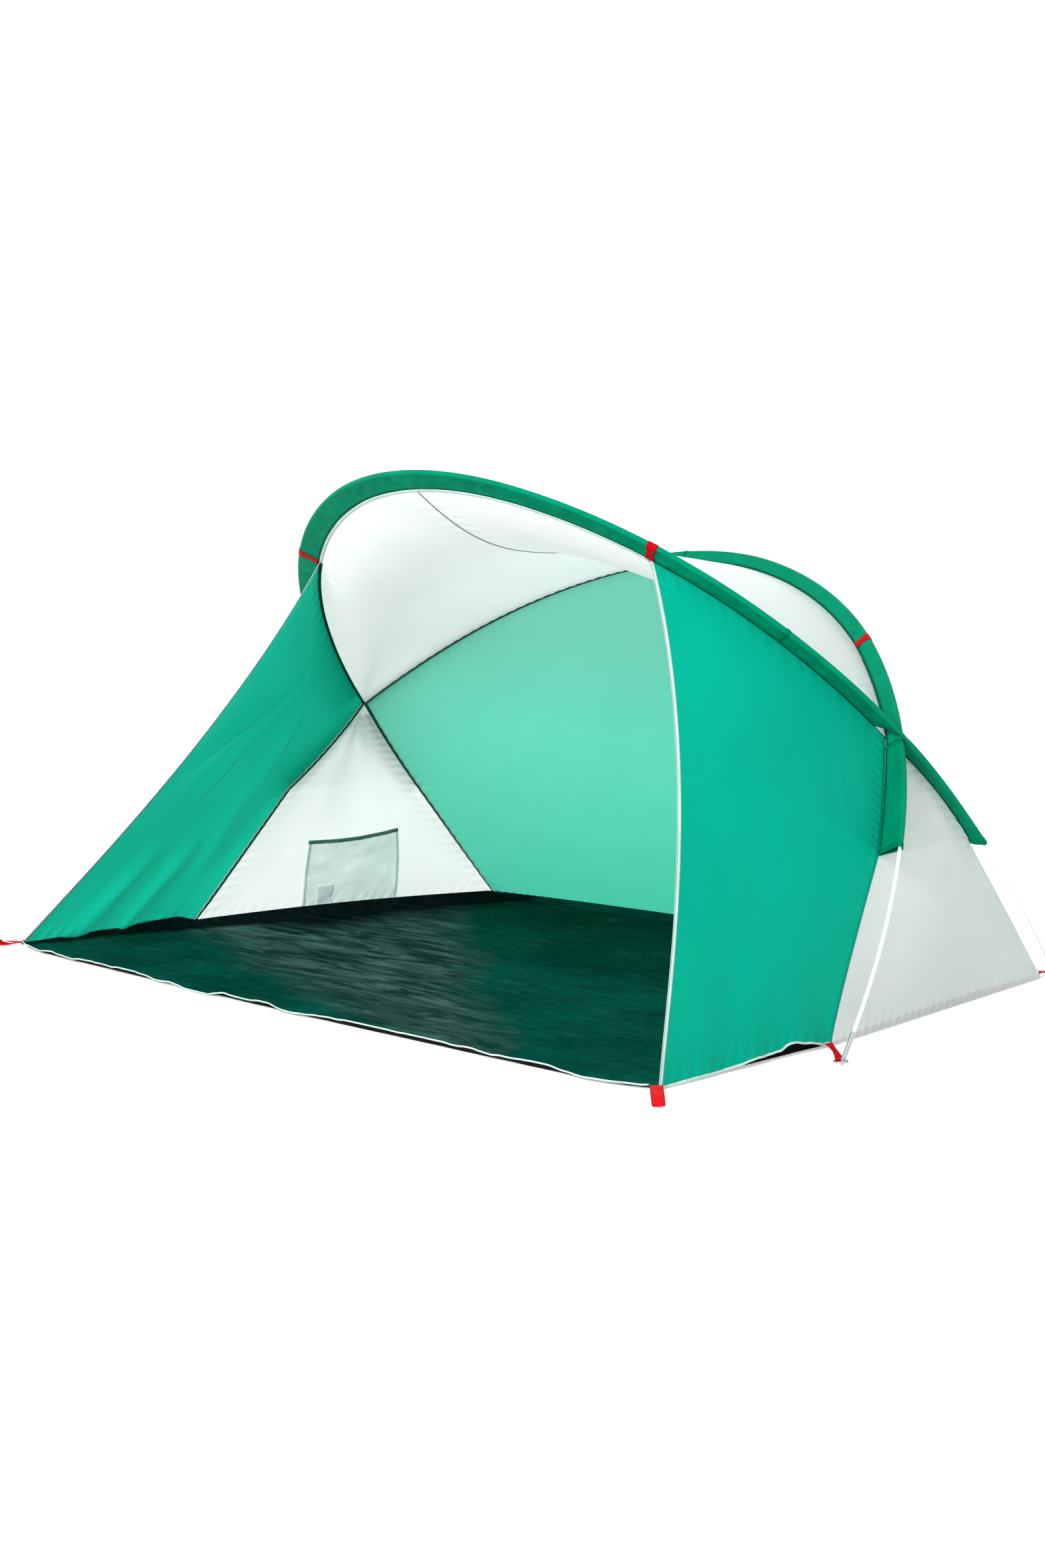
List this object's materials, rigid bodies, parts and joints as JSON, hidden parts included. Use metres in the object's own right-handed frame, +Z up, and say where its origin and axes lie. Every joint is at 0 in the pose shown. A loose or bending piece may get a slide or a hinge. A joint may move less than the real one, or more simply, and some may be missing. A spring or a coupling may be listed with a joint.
{
  "type": "tarp shelter",
  "caption": "Open-fronted two-pole beach shelter: crossing bent poles in fabric sleeves, sheltered rear, side wings, tray floor, mesh pocket, peg loops and foot pins.",
  "frame": {"origin": "middle of the ground rectangle that the pitched shelter covers, at ground level", "axes": "-Y towards the open front, X across the opening, +Z up"},
  "size_m": [2.634, 1.8022, 1.2701],
  "materials": {
    "pole_fibreglass": "smooth white fibreglass tube",
    "ferrule_steel": "plain steel tube",
    "tip_metal": "turned metal",
    "foot_steel": "plated steel wire and rod",
    "shock_cord": "braided elastic cord",
    "red_webbing": "ribbed woven webbing",
    "sleeve_fabric": "woven polyester, dark green",
    "green_fabric": "thin woven polyester, sea green, lets light through",
    "silver_fabric": "thin coated polyester, pale silver",
    "seam_tape": "folded tape over a seam allowance",
    "pale_binding": "folded pale binding tape",
    "floor_sheet": "creased polyethylene sheet, dark green over black",
    "pocket_mesh": "fine net",
    "pocket_binding": "narrow binding tape",
    "pocket_elastic": "gathered elastic binding",
    "label_tape": "plain satin tape"
  },
  "bodies": {
    "pitched_shelter": {"floor": "floor_sheet", "floor_front_binding": "pale_binding", "front_pole_ferrules": "ferrule_steel", "front_pole_foot_strap_left": "red_webbing", "front_pole_foot_strap_right": "red_webbing", "front_pole_section_1": "pole_fibreglass", "front_pole_section_2": "pole_fibreglass", "front_pole_section_3": "pole_fibreglass", "front_pole_section_4": "pole_fibreglass", "front_pole_section_5": "pole_fibreglass", "front_pole_section_6": "pole_fibreglass", "front_pole_section_7": "pole_fibreglass", "front_pole_tips": "tip_metal", "front_sleeve_side_left": "sleeve_fabric", "front_sleeve_side_right": "sleeve_fabric", "front_sleeve_straps": "red_webbing", "front_sleeve_top": "sleeve_fabric", "pocket_label": "label_tape", "pocket_mesh": "pocket_mesh", "pocket_side_bindings": "pocket_binding", "pocket_top_binding": "pocket_elastic", "rear_pole_ferrules": "ferrule_steel", "rear_pole_foot_strap_left": "red_webbing", "rear_pole_foot_strap_right": "red_webbing", "rear_pole_section_1": "pole_fibreglass", "rear_pole_section_2": "pole_fibreglass", "rear_pole_section_3": "pole_fibreglass", "rear_pole_section_4": "pole_fibreglass", "rear_pole_section_5": "pole_fibreglass", "rear_pole_section_6": "pole_fibreglass", "rear_pole_section_7": "pole_fibreglass", "rear_pole_tips": "tip_metal", "rear_sleeve_side_left": "sleeve_fabric", "rear_sleeve_side_right": "sleeve_fabric", "rear_sleeve_straps": "red_webbing", "rear_sleeve_top": "sleeve_fabric", "rear_wall": "green_fabric", "rear_wall_seams": "seam_tape", "roof_front_binding": "pale_binding", "roof_left": "silver_fabric", "roof_rear_seam": "seam_tape", "roof_right": "silver_fabric", "shock_cords": "shock_cord", "side_gusset_left": "silver_fabric", "side_gusset_right": "silver_fabric", "side_seam_bindings": "pale_binding", "wing_edge_bindings": "pale_binding", "wing_hem_bindings": "pale_binding", "wing_left": "green_fabric", "wing_right": "green_fabric"},
    "left_peg_loop_body": {"front_peg_loop_left": "red_webbing"},
    "right_peg_loop_body": {"front_peg_loop_right": "red_webbing"},
    "front_pole_left_foot_pin_body": {"front_pole_foot_pin_left": "foot_steel", "front_pole_foot_ring_left": "foot_steel"},
    "front_pole_right_foot_pin_body": {"front_pole_foot_pin_right": "foot_steel", "front_pole_foot_ring_right": "foot_steel"},
    "rear_pole_left_foot_pin_body": {"rear_pole_foot_pin_left": "foot_steel", "rear_pole_foot_ring_left": "foot_steel"},
    "rear_pole_right_foot_pin_body": {"rear_pole_foot_pin_right": "foot_steel", "rear_pole_foot_ring_right": "foot_steel"}
  },
  "joints": [
    {"name": "right_peg_loop_lift", "type": "hinge", "parent": "pitched_shelter", "child": "right_peg_loop_body", "pos_m": [1.19621, -0.79521, 0.0102], "axis": [-0.7071, -0.7071, 0], "range_deg": [0, 90]},
    {"name": "left_peg_loop_lift", "type": "hinge", "parent": "pitched_shelter", "child": "left_peg_loop_body", "pos_m": [-1.19621, -0.79521, 0.0102], "axis": [-0.7071, 0.7071, 0], "range_deg": [0, 90]},
    {"name": "front_pole_left_foot_pin_pull", "type": "slide", "parent": "pitched_shelter", "child": "front_pole_left_foot_pin_body", "axis": [0.1584, 0.715, -0.6809], "range_m": [0, 0.02], "deforming": ["front_pole_foot_strap_left"]},
    {"name": "front_pole_right_foot_pin_pull", "type": "slide", "parent": "pitched_shelter", "child": "front_pole_right_foot_pin_body", "axis": [-0.1584, 0.715, -0.6809], "range_m": [0, 0.02], "deforming": ["front_pole_foot_strap_right"]},
    {"name": "rear_pole_left_foot_pin_pull", "type": "slide", "parent": "pitched_shelter", "child": "rear_pole_left_foot_pin_body", "axis": [-0.1477, -0.677, -0.721], "range_m": [0, 0.02], "deforming": ["rear_pole_foot_strap_left"]},
    {"name": "rear_pole_right_foot_pin_pull", "type": "slide", "parent": "pitched_shelter", "child": "rear_pole_right_foot_pin_body", "axis": [0.1477, -0.677, -0.721], "range_m": [0, 0.02], "deforming": ["rear_pole_foot_strap_right"]}
  ]
}
